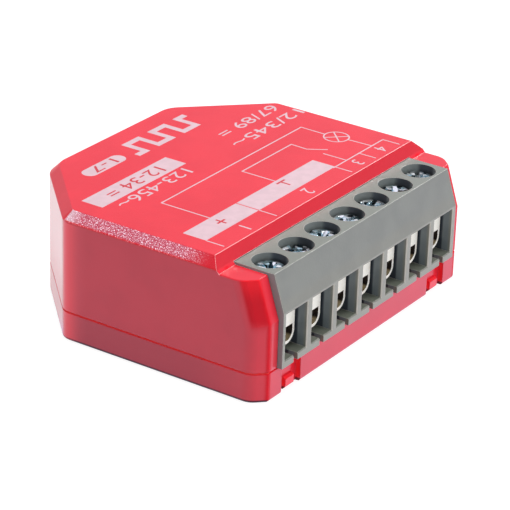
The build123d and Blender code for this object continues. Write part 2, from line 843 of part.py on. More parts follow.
def chip_legs(x, y, size, count, along_x):
    """Flat legs on two opposite sides of a chip, count to a side."""
    width, depth, height = size
    reach, leg_width, leg_height = chip_lead
    span = width if along_x else depth
    edge = (depth if along_x else width) / 2 + reach / 2
    legs = []
    for i in range(count):
        place = span * ((i + 0.5) / count - 0.5)
        for side in (-1, 1):
            if along_x:
                legs.append(block_on(x + place, y + side * edge, board_top,
                                     (leg_width, reach, leg_height)))
            else:
                legs.append(block_on(x + side * edge, y + place, board_top,
                                     (reach, leg_width, leg_height)))
    return legs


def radio_board():
    """Board that stands across the rear of the main board."""
    half = radio_width / 2
    return block_of(-half, half, radio_front, radio_rear, board_top, radio_top)


def shield_can():
    """Sheet-metal lid over the radio chip, open towards its board."""
    half = can_width / 2
    lid = block_of(can_x - half, can_x + half, radio_rear, can_rear, can_bottom,
                   can_bottom + can_height)
    inner = half - can_sheet
    return lid - block_of(can_x - inner, can_x + inner, radio_rear - overrun, can_rear - can_sheet,
                          can_bottom + can_sheet, can_bottom + can_height - can_sheet)


def radio_chip():
    """Radio chip under the lid."""
    half = radio_chip_size / 2
    z = can_bottom + can_height / 2
    return block_of(can_x - half, can_x + half, radio_rear, radio_rear + radio_chip_height,
                    z - half, z + half)


def crystal():
    """Crystal beside the lid."""
    width, depth, height = crystal_size
    left = can_x + can_width / 2 + part_gap
    return block_of(left, left + width, radio_rear, radio_rear + depth, can_bottom,
                    can_bottom + height)


def aerial():
    """Flat copper track that goes up and down across the end of the radio board."""
    pitch = (aerial_right - aerial_left - aerial_trace) / (2 * aerial_teeth)
    front, back = radio_rear, radio_rear + aerial_thickness
    high = aerial_bottom + aerial_height
    shape = block_of(aerial_left, aerial_left + aerial_trace, front, back, aerial_bottom, high)
    for i in range(2 * aerial_teeth):
        left = aerial_left + i * pitch
        right = left + pitch
        low = high - aerial_trace if i % 2 == 0 else aerial_bottom
        shape += block_of(left, right + aerial_trace, front, back, low, low + aerial_trace)
        shape += block_of(right, right + aerial_trace, front, back, aerial_bottom, high)
    return shape


def header_pin_places():
    """The pins between the two boards, along X."""
    return [header_pitch * (i - (header_pins - 1) / 2) for i in range(header_pins)]


def header_strip():
    """Plastic strip in front of the radio board, holed for its pins."""
    half = header_pins * header_pitch / 2
    strip = block_of(-half, half, radio_front - header_depth, radio_front, board_top,
                     board_top + header_height)
    reach = header_pin_width / 2 + core_gap
    for x in header_pin_places():
        strip -= block_of(x - reach, x + reach, header_y - reach, header_y + reach,
                          board_top - overrun, board_top + header_height + overrun)
    return strip


def header_pin(x):
    """Square pin through the strip and the board, with an arm to the radio board."""
    half = header_pin_width / 2
    arm = board_top + header_height + core_gap
    pin = block_of(x - half, x + half, header_y - half, header_y + half,
                   board_bottom - lead_reach, arm + header_pin_width)
    return pin + block_of(x - half, x + half, header_y, radio_front, arm, arm + header_pin_width)


def main_board():
    """Printed board with a hole for every pin and wire that goes through it."""
    board = plan_prism(case_wall + board_gap, board_bottom, board_top)
    low = board_bottom - overrun
    high = board_top + overrun
    square_holes = [(x, (leg_front + leg_rear) / 2, pin_width / 2, bar_thickness / 2)
                    for x in terminal_places]
    pin = relay_pin_width / 2
    coil, strip, post = relay_pin_rooms(0)
    square_holes += [(coil[0], y, pin, pin) for y in coil_pin_rows()]
    square_holes += [(x, relay_y, reach, pin) for x, reach in (strip, post)]
    half = header_pin_width / 2
    square_holes += [(x, header_y, half, half) for x in header_pin_places()]
    for x, y, half_x, half_y in square_holes:
        half_x += running_gap
        half_y += running_gap
        board -= block_of(x - half_x, x + half_x, y - half_y, y + half_y, low, high)
    round_holes = [(x, capacitor_lead_y) for x in capacitor_lead_places()]
    round_holes += [(x, varistor_y) for x in varistor_lead_places()]
    round_holes += [(fuse_x + side * fuse_drop, fuse_y) for side in (-1, 1)]
    for x, y in round_holes:
        board -= rod_z(x, y, low, high, lead_radius + running_gap)
    return board


def group(shapes):
    """Separate pieces kept in one node."""
    return Compound(children=[s for shape in shapes for s in shape.solids()])


chips = {
    "rectifier": (rectifier_x, chip_row, rectifier_size, rectifier_leg_count, False),
    "converter_chip": (converter_x, chip_row, converter_size, converter_leg_count, True),
    "flyback_diode": (output_x, small_row, diode_size, diode_leg_count, False),
    "relay_driver": (rectifier_x, small_row, transistor_size, transistor_leg_count, True),
}

nodes = {
    "top_shell": top_shell(),
    "base_shell": base_shell(),
    "terminal_block": terminal_block(),
    "contact_bars": group([contact_bar(x) for x in terminal_places]),
    "main_board": main_board(),
    "control_button": control_button(),
    "switch_stem": switch_stem(),
    "switch_body": switch_body(),
    "status_light": status_light(),
    "capacitor_leads": group([bent_lead(x, capacitor_rear, capacitor_lead_y, capacitor_z)
                              for x in capacitor_lead_places()]),
    "relay_case": relay_case(),
    "relay_base": relay_base(),
    "relay_yoke": relay_yoke(),
    "relay_core": rod_x(yoke_left, pole_face, relay_y, coil_z, core_radius),
    "coil_bobbin": coil_bobbin(),
    "coil_winding": coil_winding(),
    "coil_pins": group([coil_pin(y) for y in coil_pin_rows()]),
    "armature": armature(),
    "relay_card": relay_card(),
    "contact_leaf": contact_leaf(),
    "moving_contact": rod_x(leaf_left - contact_height, leaf_left, relay_y, contact_z,
                            contact_radius),
    "fixed_strip": fixed_strip(),
    "fixed_contact": rod_x(strip_right, strip_right + contact_height, relay_y, contact_z,
                           contact_radius),
    "leaf_post": leaf_post(),
    "choke_core": choke_core(),
    "choke_winding": choke_winding(),
    "varistor": varistor(),
    "varistor_leads": group([rod_z(x, varistor_y, board_bottom - lead_reach, varistor_z - core_gap,
                                   lead_radius) for x in varistor_lead_places()]),
    "fuse_resistor": fuse_resistor(),
    "fuse_leads": group([fuse_lead(side) for side in (-1, 1)]),
    "output_capacitor": rod_z(output_x, second_row + output_capacitor_radius,
                              board_top + running_gap,
                              board_top + running_gap + output_capacitor_height,
                              output_capacitor_radius),
    "chip_legs": group([leg for x, y, size, count, along_x in chips.values()
                        for leg in chip_legs(x, y, size, count, along_x)]),
    "radio_board": radio_board(),
    "shield_can": shield_can(),
    "radio_chip": radio_chip(),
    "crystal": crystal(),
    "aerial": aerial(),
    "header_strip": header_strip(),
    "header_pins": group([header_pin(x) for x in header_pin_places()]),
}
for name, (x, y, size, count, along_x) in chips.items():
    nodes[name] = chip(x, y, size)
for number, x in enumerate(capacitor_places, 1):
    nodes[f"supply_capacitor_{number}"] = capacitor(x)
for number, x in enumerate(terminal_places, 1):
    nodes[f"clamp_cage_{number}"] = clamp_cage(x)
    nodes[f"clamp_screw_{number}"] = clamp_screw(x, screw_turn_shares[number - 1])

os.makedirs("parts", exist_ok=True)
for name, solid in nodes.items():
    export_step(solid, f"parts/{name}.step")
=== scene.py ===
import json
import math
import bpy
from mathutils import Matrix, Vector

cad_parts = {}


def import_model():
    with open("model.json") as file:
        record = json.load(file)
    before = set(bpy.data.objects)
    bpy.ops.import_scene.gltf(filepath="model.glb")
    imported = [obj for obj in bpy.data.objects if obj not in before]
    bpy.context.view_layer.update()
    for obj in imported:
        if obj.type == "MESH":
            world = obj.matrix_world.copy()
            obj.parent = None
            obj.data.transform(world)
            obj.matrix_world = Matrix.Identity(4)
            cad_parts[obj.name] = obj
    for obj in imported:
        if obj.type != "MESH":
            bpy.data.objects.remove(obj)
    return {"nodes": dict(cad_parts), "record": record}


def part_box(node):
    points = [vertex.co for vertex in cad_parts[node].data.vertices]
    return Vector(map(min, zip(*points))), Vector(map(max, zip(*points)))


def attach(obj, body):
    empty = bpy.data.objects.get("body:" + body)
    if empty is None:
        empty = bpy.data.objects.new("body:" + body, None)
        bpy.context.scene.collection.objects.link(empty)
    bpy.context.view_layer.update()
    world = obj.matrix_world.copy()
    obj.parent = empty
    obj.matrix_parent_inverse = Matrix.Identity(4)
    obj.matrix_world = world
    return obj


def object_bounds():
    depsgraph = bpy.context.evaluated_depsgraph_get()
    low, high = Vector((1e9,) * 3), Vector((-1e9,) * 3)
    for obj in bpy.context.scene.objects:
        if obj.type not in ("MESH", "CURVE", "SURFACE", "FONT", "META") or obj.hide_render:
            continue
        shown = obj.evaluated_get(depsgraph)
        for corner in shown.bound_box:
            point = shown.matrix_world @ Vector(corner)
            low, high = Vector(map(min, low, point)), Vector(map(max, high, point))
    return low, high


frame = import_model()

from types import SimpleNamespace

import bpy
import numpy as np
from mathutils import Matrix, Vector

# A relay module: red case, grey terminal block, plated screws and clamps, white print on the top.
# Metres. X runs along the terminals, -Y is the side of the wires, +Z is the printed face.
cad_low, cad_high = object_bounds()
MM = 0.001

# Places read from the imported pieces
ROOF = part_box("top_shell")[1].z
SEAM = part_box("top_shell")[0].z
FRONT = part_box("terminal_block")[0].y
BLOCK_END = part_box("terminal_block")[1].x
CAGE_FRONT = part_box("clamp_cage_1")[0].y
CHOKE_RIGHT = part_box("choke_winding")[1].x

# Places on the case that only its material needs
SEAM_MIDDLE = SEAM - 0.06 * MM
BEVEL_FOOT = ROOF - 1.12 * MM
CORNER_BAND = 19.4 * MM

# How far each kind of sharp edge is softened
CASE_EDGE = 0.09 * MM
MOULDED_EDGE = 0.08 * MM
METAL_EDGE = 0.06 * MM

WHITE = (1.0, 1.0, 1.0, 1.0)


# Node helpers

def feed(tree, node, inputs):
    """Link or set a node's inputs: a socket is linked, anything else becomes the input's value."""
    for key, value in inputs.items():
        if isinstance(value, bpy.types.NodeSocket):
            tree.links.new(value, node.inputs[key])
        else:
            node.inputs[key].default_value = value
    return node


def add(tree, kind, inputs=None, **settings):
    """Add a node: settings are its properties, and inputs gives a socket a value or a link."""
    made = tree.nodes.new(kind)
    for key, value in settings.items():
        setattr(made, key, value)
    return feed(tree, made, inputs or {})


def maths(tree, operation, first, second=0.0, third=0.0, clamp=False):
    """One Math node's result."""
    return add(tree, "ShaderNodeMath", {0: first, 1: second, 2: third},
               operation=operation, use_clamp=clamp).outputs[0]


def product(tree, first, *others):
    """Several masks or shares multiplied."""
    for other in others:
        first = maths(tree, "MULTIPLY", first, other)
    return first


def greatest(tree, first, *others):
    """The greatest of several masks."""
    for other in others:
        first = maths(tree, "MAXIMUM", first, other)
    return first


def size_of(tree, value):
    """A value without its sign."""
    return maths(tree, "ABSOLUTE", value)


def spread(tree, value, low, high, to_low=0.0, to_high=1.0):
    """Map a range of values smoothly onto another. With low above high the result falls as the
    value rises."""
    made = add(tree, "ShaderNodeMapRange", {"Value": value, "From Min": low, "From Max": high,
                                            "To Min": to_low, "To Max": to_high},
               interpolation_type="SMOOTHSTEP")
    return made.outputs["Result"]


def blend_colours(tree, factor, first, second):
    """Mix two colours."""
    colour_a, colour_b, result = 6, 7, 2
    return add(tree, "ShaderNodeMix", {"Factor": factor, colour_a: first, colour_b: second},
               data_type="RGBA").outputs[result]


def layered(tree, body, layers):
    """Colours laid over a body colour in turn, each given as its mask, its share and its colour."""
    for mask, share, colour in layers:
        body = blend_colours(tree, maths(tree, "MULTIPLY", mask, share), body, colour)
    return body


def rgb(red, green, blue):
    """Colour given as screen values from 0 to 255, as Blender's linear colour."""
    def linear(value):
        share = value / 255
        return share / 12.92 if share <= 0.04045 else ((share + 0.055) / 1.055) ** 2.4
    return (linear(red), linear(green), linear(blue), 1.0)


def new_group(name, sockets_in, sockets_out):
    """Node group with named inputs and outputs; returns its tree and its two end nodes."""
    tree = bpy.data.node_groups.new(name, "ShaderNodeTree")
    for label, kind, value in sockets_in:
        made = tree.interface.new_socket(name=label, in_out="INPUT", socket_type=kind)
        if value is not None:
            made.default_value = value
    for label, kind in sockets_out:
        tree.interface.new_socket(name=label, in_out="OUTPUT", socket_type=kind)
    return tree, tree.nodes.new("NodeGroupInput"), tree.nodes.new("NodeGroupOutput")


# Shared surface effects

def make_grain_group():
    """Fine moulded or sand-blasted grain: a height, and masks of its specks and of a slow drift.
    Grain and Waves are the sizes of both, in mm."""
    tree, ends, out = new_group(
        "fine_grain",
        [("Vector", "NodeSocketVector", None), ("Grain", "NodeSocketFloat", 0.2),
         ("Waves", "NodeSocketFloat", 3.0)],
        [("Height", "NodeSocketFloat"), ("Speck", "NodeSocketFloat"), ("Drift", "NodeSocketFloat")])

    def noise(size, detail, roughness):
        """Noise at a size in mm."""
        return add(tree, "ShaderNodeTexNoise",
                   {"Vector": ends.outputs["Vector"], "Scale": maths(tree, "DIVIDE", 1 / MM, size),
                    "Detail": detail, "Roughness": roughness}).outputs["Fac"]

    fine = noise(ends.outputs["Grain"], 2.0, 0.6)
    wide = noise(ends.outputs["Waves"], 3.0, 0.5)
    feed(tree, out, {"Height": fine, "Speck": spread(tree, fine, 0.5, 0.68),
                     "Drift": spread(tree, wide, 0.35, 0.65)})
    return tree


def make_edge_group():
    """Softened edges: a rounded normal and a mask that is 1 along each sharp edge, where the
    materials paint highlights.
    """
    tree, ends, out = new_group(
        "soft_edge", [("Radius", "NodeSocketFloat", 0.1 * MM)],
        [("Normal", "NodeSocketVector"), ("Edge", "NodeSocketFloat")])
    bevel = add(tree, "ShaderNodeBevel", {"Radius": ends.outputs["Radius"]}, samples=6)
    plain = add(tree, "ShaderNodeNewGeometry")
    likeness = add(tree, "ShaderNodeVectorMath", {0: bevel.outputs[0], 1: plain.outputs["Normal"]},
                   operation="DOT_PRODUCT")
    feed(tree, out, {"Normal": bevel.outputs[0],
                     "Edge": spread(tree, likeness.outputs["Value"], 0.995, 0.85)})
    return tree


def make_marks_group():
    """Fine scratches and dimples on plated metal: a height and a mask of dull spots. Fineness is
    how many there are to a mm."""
    tree, ends, out = new_group(
        "metal_marks",
        [("Vector", "NodeSocketVector", None), ("Fineness", "NodeSocketFloat", 8.0)],
        [("Height", "NodeSocketFloat"), ("Dull", "NodeSocketFloat")])
    scale = maths(tree, "MULTIPLY", ends.outputs["Fineness"], 1 / MM)
    lines = add(tree, "ShaderNodeMapping", {"Vector": ends.outputs["Vector"],
                                            "Scale": (1.0, 0.12, 1.0),
                                            "Rotation": (0.3, 0.2, 0.7)})
    scratch = add(tree, "ShaderNodeTexNoise", {"Vector": lines.outputs[0], "Scale": scale,
                                               "Detail": 3.0, "Roughness": 0.7})
    spots = add(tree, "ShaderNodeTexNoise", {"Vector": ends.outputs["Vector"],
                                             "Scale": maths(tree, "MULTIPLY", scale, 0.3),
                                             "Detail": 2.0})
    feed(tree, out, {"Height": scratch.outputs["Fac"],
                     "Dull": spread(tree, spots.outputs["Fac"], 0.45, 0.7)})
    return tree


grain_group = make_grain_group()
edge_group = make_edge_group()
marks_group = make_marks_group()


# Materials

def start_material(name):
    """Empty material: its tree, its Principled shader and the surface's own coordinates."""
    material = bpy.data.materials.new(name)
    material.use_nodes = True
    tree = material.node_tree
    tree.nodes.clear()
    shader = tree.nodes.new("ShaderNodeBsdfPrincipled")
    out = tree.nodes.new("ShaderNodeOutputMaterial")
    tree.links.new(shader.outputs[0], out.inputs["Surface"])
    where = tree.nodes.new("ShaderNodeTexCoord").outputs["Object"]
    return material, tree, shader, where


def grained(tree, where, grain, waves=3.0):
    """The grain's outputs at sizes in mm."""
    return add(tree, "ShaderNodeGroup", {"Vector": where, "Grain": grain, "Waves": waves},
               node_tree=grain_group).outputs


def softened(tree, radius):
    """The softened edges' outputs."""
    return add(tree, "ShaderNodeGroup", {"Radius": radius}, node_tree=edge_group).outputs


def marked(tree, where, fineness):
    """The metal marks' outputs."""
    return add(tree, "ShaderNodeGroup", {"Vector": where, "Fineness": fineness},
               node_tree=marks_group).outputs


def bump(tree, height, strength, distance, normal=None):
    """Bump normal from a height."""
    inputs = {"Height": height, "Strength": strength, "Distance": distance}
    if normal is not None:
        inputs["Normal"] = normal
    return add(tree, "ShaderNodeBump", inputs).outputs[0]


def place_of(tree, where):
    """A point's X, Y and Z."""
    return add(tree, "ShaderNodeSeparateXYZ", {0: where}).outputs


def facing_of(tree):
    """X, Y and Z of the way that the surface faces."""
    return place_of(tree, add(tree, "ShaderNodeTexCoord").outputs["Normal"])


def moulded(name, colour, deep, rough, grain, depth):
    """Moulded plastic: slow drift between two colours, fine grain, softened edges with a painted
    highlight along them.
    """
    material, tree, shader, where = start_material(name)
    marks = grained(tree, where, grain)
    edges = softened(tree, MOULDED_EDGE)
    body = blend_colours(tree, marks["Drift"], colour, deep)
    # Painted highlight: the colour is paled towards white along the softened edges.
    pale = blend_colours(tree, 0.25, body, WHITE)
    feed(tree, shader, {
        "Base Color": blend_colours(tree, edges["Edge"], body, pale),
        "Roughness": spread(tree, marks["Height"], 0.2, 0.8, rough - 0.06, rough + 0.06),
        "Normal": bump(tree, marks["Height"], 0.6, depth * MM, edges["Normal"])})
    return material


def plated(name, colour, dull, rough, fineness, depth):
    """Plated metal: fine scratches, dull spots and softened edges."""
    material, tree, shader, where = start_material(name)
    marks = marked(tree, where, fineness)
    edges = softened(tree, METAL_EDGE)
    feed(tree, shader, {
        "Base Color": blend_colours(tree, marks["Dull"], colour, dull),
        "Metallic": 1.0,
        "Roughness": spread(tree, marks["Dull"], 0.0, 1.0, rough, rough + 0.15),
        "Normal": bump(tree, marks["Height"], 0.5, depth * MM, edges["Normal"])})
    return material


def block_grey():
    """Grey of the terminal block, with light and shade painted in: painted highlights along the
    slot mouths and its edges; paler on its front, which is upright up to 10.1 mm and leans back
    above, as painted light; cooler and paler on its ends as painted light; darker on its top as
    painted shade; cooler and darker in slots and bores as painted shade; and dark at the back of
    the slots, beside the clamps, as a painted shadow."""
    material, tree, shader, where = start_material("block_grey")
    place, facing = place_of(tree, where), facing_of(tree)
    sideways, across = size_of(tree, facing["X"]), size_of(tree, place["X"])
    on_side = spread(tree, sideways, 0.8, 0.95)
    deep = product(tree, spread(tree, place["Y"], FRONT + 0.2 * MM, FRONT + 0.6 * MM),
                   spread(tree, across, BLOCK_END - 0.2 * MM, BLOCK_END - 0.4 * MM))
    # Painted shade: slot and bore walls are cooler and darker.
    shaded_inner = product(tree, deep, spread(tree, size_of(tree, facing["Z"]), 0.4, 0.2),
                    spread(tree, place["Z"], 10.0 * MM, 10.4 * MM, 1.0, 0.6))
    # Painted shadow: slot walls are dark beside and just in front of the clamps.
    cage_shadow = product(tree, deep, on_side,
                     spread(tree, place["Y"], CAGE_FRONT - 0.35 * MM, CAGE_FRONT - 0.15 * MM))
    # Painted light: the upright front is paler.
    lit_upright_front = product(tree, spread(tree, facing["Y"], -0.9, -0.98),
                            spread(tree, place["Z"], 10.2 * MM, 9.9 * MM))
    # Painted shade: the top is darker.
    shaded_top = spread(tree, facing["Z"], 0.85, 0.95)
    # Painted light: the ends are paler and cooler.
    end = product(tree, spread(tree, across, BLOCK_END - 0.3 * MM, BLOCK_END - 0.1 * MM), on_side)
    # Painted highlight along the slot mouths.
    mouth_highlight = product(tree, spread(tree, place["Y"], FRONT + 0.25 * MM, FRONT + 0.15 * MM),
                    spread(tree, sideways, 0.3, 0.5), spread(tree, sideways, 0.95, 0.85))
    marks = grained(tree, where, 0.25, 3.5)
    edges = softened(tree, CASE_EDGE)
    body = blend_colours(tree, marks["Drift"], rgb(131, 133, 124), rgb(125, 127, 119))
    body = layered(tree, body, [(lit_upright_front, 1.0, rgb(154, 156, 145)),
                                (shaded_inner, 0.75, rgb(112, 124, 132)),
                                (cage_shadow, 0.75, rgb(18, 26, 44)),
                                (shaded_top, 1.0, rgb(116, 121, 110)),
                                (end, 1.0, rgb(142, 157, 159))])
    # Painted highlight: paled towards warm white along the edges and the slot mouths.
    pale = blend_colours(tree, 0.45, body, (1.0, 0.94, 0.84, 1.0))
    feed(tree, shader, {
        "Base Color": blend_colours(tree, greatest(tree, edges["Edge"], mouth_highlight), body, pale),
        "Roughness": spread(tree, marks["Height"], 0.2, 0.8, 0.3, 0.42),
        "Specular IOR Level": maths(tree, "MULTIPLY_ADD", shaded_inner, -0.3, 0.65),
        "Normal": bump(tree, marks["Height"], 0.6, 0.02 * MM, edges["Normal"])})
    return material


def screw_zinc():
    """Zinc-plated screw heads, stamped and sparkling: small facets painted white, pale blue or
    dark, painted glints and reflections over the blue of the zinc.
    """
    material, tree, shader, where = start_material("screw_zinc")
    facet_size = 0.5 * MM
    facets = add(tree, "ShaderNodeTexVoronoi", {"Vector": where, "Scale": 1 / facet_size})
    tone = add(tree, "ShaderNodeSeparateColor", {0: facets.outputs["Color"]}).outputs
    edges = softened(tree, METAL_EDGE)
    # Painted glints and reflections: each facet dark or pale blue, and some of them white.
    body = blend_colours(tree, spread(tree, tone[0], 0.4, 0.45), rgb(24, 44, 52),
                         rgb(186, 214, 222))
    feed(tree, shader, {
        "Base Color": blend_colours(tree, spread(tree, tone[1], 0.55, 0.65), body,
                                    rgb(250, 254, 255)),
        "Metallic": 0.9,
        "Roughness": spread(tree, tone[2], 0.0, 1.0, 0.1, 0.3),
        "Normal": bump(tree, facets.outputs["Distance"], 0.5, 0.05 * MM, edges["Normal"])})
    return material


def cage_nickel():
    """Nickel-plated sheet of the clamps: its pressed front satin and pale, with a faint painted
    glow; its inside brown on the floor of the wire's opening and dark above, that dark being
    painted shade; painted highlights along its edges."""
    material, tree, shader, where = start_material("cage_nickel")
    facing = facing_of(tree)
    front = spread(tree, facing["Y"], -0.6, -0.9)
    marks = marked(tree, where, 5.0)
    edges = softened(tree, METAL_EDGE)
    pale = blend_colours(tree, marks["Dull"], rgb(252, 250, 244), rgb(240, 235, 224))
    inside = blend_colours(tree, marks["Dull"], rgb(226, 206, 164), rgb(190, 164, 116))
    # Painted shade: inside faces that do not face up turn dark.
    inside = blend_colours(tree, spread(tree, facing["Z"], 0.75, 0.45), inside, rgb(58, 50, 48))
    body = blend_colours(tree, front, inside, pale)
    # Painted highlight along the edges, and painted light: the front glows faintly though it is no
    # lamp.
    feed(tree, shader, {
        "Base Color": blend_colours(tree, edges["Edge"], body, rgb(250, 248, 240)),
        "Metallic": maths(tree, "MULTIPLY_ADD", front, -0.3, 0.35),
        "Emission Color": (1.0, 0.98, 0.92, 1.0),
        "Emission Strength": maths(tree, "MULTIPLY", front, 0.14),
        "Roughness": maths(tree, "MULTIPLY_ADD", marks["Dull"], 0.15, 0.25),
        "Normal": bump(tree, marks["Height"], 0.4, 0.004 * MM, edges["Normal"])})
    return material


def case_masks(tree, where):
    """Masks from 0 to 1 for the parts of the case that take the light in their own way; most of
    them mark where light and shade are painted into the colour or its glow.
    """
    place, facing = place_of(tree, where), facing_of(tree)
    height, across = place["Z"], size_of(tree, place["X"])
    up, back, right = facing["Z"], facing["Y"], facing["X"]
    sides = size_of(tree, right)

    def above(start, end, to_low=0.0, to_high=1.0):
        """Mask by height in mm."""
        return spread(tree, height, start * MM, end * MM, to_low, to_high)

    def behind(start, end):
        """Mask by distance in mm behind the terminal block's front."""
        return spread(tree, place["Y"], FRONT + start * MM, FRONT + end * MM)

    def apart(value, centre):
        """How far a value is from a centre."""
        return size_of(tree, maths(tree, "SUBTRACT", value, centre))

    # The top, its bevels and the line at their foot
    near_roof = spread(tree, height, ROOF - 1.3 * MM, ROOF - 1.0 * MM)
    below = maths(tree, "SUBTRACT", 1.0, near_roof)
    top = product(tree, near_roof, spread(tree, up, 0.35, 0.6))
    sideways = spread(tree, size_of(tree, back), 0.35, 0.2)
    rim = product(tree, top, spread(tree, up, 0.97, 0.8), sideways)
    # Painted sheen: a paler mauve over the sand-blasted bevel strips.
    strip = product(tree, rim, behind(7.6, 12))
    # Painted highlight: pale pink where the bevel strips end at the rear.
    strip_end = product(tree, rim, behind(24.8, 26.6))
    # Painted shade: the front slope is a darker red.
    slope = product(tree, near_roof, spread(tree, back, -0.45, -0.6))
    # Painted highlight: pale pink along the top's front edge.
    front_edge = product(tree, near_roof, spread(tree, back, -0.1, -0.2),
                         spread(tree, back, -0.55, -0.4))
    # Painted shade: a deeper red line at the bevels' foot.
    crease = product(tree, spread(tree, apart(height, BEVEL_FOOT), 0.2 * MM, 0.08 * MM), sideways)
    at_slope = product(tree, above(13.75, 13.95), behind(7.8, 7.4))

    # The seam between the shells, and what lies above and below it
    from_seam = apart(height, SEAM_MIDDLE)
    seam = spread(tree, from_seam, 0.13 * MM, 0.09 * MM)
    # Painted light: the seam's groove is a paler red and glows faintly.
    groove = spread(tree, from_seam, 0.09 * MM, 0.055 * MM)
    upper = spread(tree, height, SEAM - 0.05 * MM, SEAM + 0.05 * MM)
    lower = maths(tree, "SUBTRACT", 1.0, upper)
    # Painted shade: the base's left wall is a darker red.
    base = product(tree, lower, spread(tree, right, -0.6, -0.8), behind(2.5, 10))
    # Painted shadow: a dark line along the foot of the left side.
    foot = product(tree, above(0.45, 0.25), spread(tree, up, -0.98, -0.9),
                   spread(tree, right, -0.2, -0.4))
    # Painted light: the notches are a brighter red that glows faintly.
    notch = product(tree, lower, spread(tree, across, 19.3 * MM, 19.1 * MM), behind(0.63, 0.7),
                    behind(1.4, 1.3),
                    greatest(tree, behind(1.15, 1.0), spread(tree, sides, 0.3, 0.6)))

    # The posts beside the block: upright up to 9.2 mm, leaning back above, and slanted outside
    # Painted sheen: the posts' upright fronts are a paler pink.
    post = product(tree, upper, below, spread(tree, sides, 0.2, 0.06),
                   spread(tree, back, -0.6, -0.8))
    leaning = product(tree, above(8.2, 9.9), below, spread(tree, back, -0.25, -0.5))
    # Painted shade: the posts' leaning, slanted faces are a darker red.
    lean = product(tree, leaning, spread(tree, sides, 0.06, 0.2))
    # Painted light: the upper part of those faces is a brighter red.
    lean_top = product(tree, lean, above(11.5, 14))
    # Painted shade: a deeper red band down each front corner.
    corner = product(tree, below, spread(tree, back, -0.3, -0.5),
                     spread(tree, apart(across, CORNER_BAND), 0.5 * MM, 0.15 * MM))

    # The side walls' rear ends, where they turn into the cut walls, and the cut wall at the left
    wall = product(tree, below, spread(tree, sides, 0.6, 0.9))
    # Painted light: the side walls' rear ends are a paler pink red.
    rear = product(tree, wall, behind(23.5, 26.5))
    # Painted light: where the side walls turn at the rear they glow faintly.
    turn = product(tree, wall, behind(24.6, 27), spread(tree, back, 0.6, 0.4))
    cut = product(tree, below, spread(tree, back, 0.35, 0.6), spread(tree, right, -0.3, -0.5),
                  above(3, 10, 0.35, 1.0))

    matt = greatest(tree, top, seam, spread(tree, up, 0.5, 0.8))
    rich = greatest(tree, leaning, corner, foot)
    return SimpleNamespace(
        top=top, rim=rim, strip=strip, strip_end=strip_end, slope=slope, front_edge=front_edge,
        crease=crease, at_slope=at_slope, from_seam=from_seam, seam=seam, groove=groove, base=base,
        foot=foot, notch=notch, post=post, lean=lean, lean_top=lean_top, corner=corner, rear=rear,
        turn=turn, cut=cut, matt=matt, rich=rich)


def case_colour(tree, at, drift, lit_grain, edge):
    """The case's colour: two close reds, the parts that differ, nearly all of them painted light
    and shade, then the painted highlight lines along its edges.
    """
    # Painted edge highlight: pale pink at the slope's top edge, a brighter red on the other edges,
    # fading out near the seam.
    line = blend_colours(tree, at.at_slope, (0.86, 0.02, 0.05, 1.0), (1.0, 0.66, 0.70, 1.0))
    edge_highlight = product(tree, spread(tree, edge, 0.0, 0.6),
                        spread(tree, at.from_seam, 0.25 * MM, 0.4 * MM, 0.1, 1.0))
    body = blend_colours(tree, drift, rgb(232, 34, 52), rgb(226, 29, 48))
    # Layers of painted light and shade over the body red, each as set out where its mask is made.
    return layered(tree, body, [(at.slope, 0.8, rgb(200, 24, 42)),
                                (at.base, 0.8, rgb(198, 26, 44)),
                                (at.post, 0.2, rgb(240, 88, 104)),
                                (at.rear, 0.7, rgb(255, 72, 84)),
                                (at.lean, 0.75, rgb(214, 20, 36)),
                                (at.corner, 0.6, rgb(228, 18, 34)),
                                (at.lean_top, 1.0, rgb(250, 34, 48)),
                                (at.groove, 0.85, rgb(255, 104, 104)),
                                (at.notch, 1.0, rgb(250, 28, 44)),
                                (at.foot, 1.0, rgb(56, 14, 34)),
                                (at.strip, 0.6, rgb(206, 92, 122)),
                                (lit_grain, 1.0, (1.0, 0.84, 0.96, 1.0)),
                                (at.strip_end, 0.6, (1.0, 0.8, 0.9, 1.0)),
                                (at.front_edge, 0.45, (1.0, 0.6, 0.62, 1.0)),
                                (edge_highlight, 1.0, line),
                                (at.crease, 1.0, rgb(228, 16, 34))])


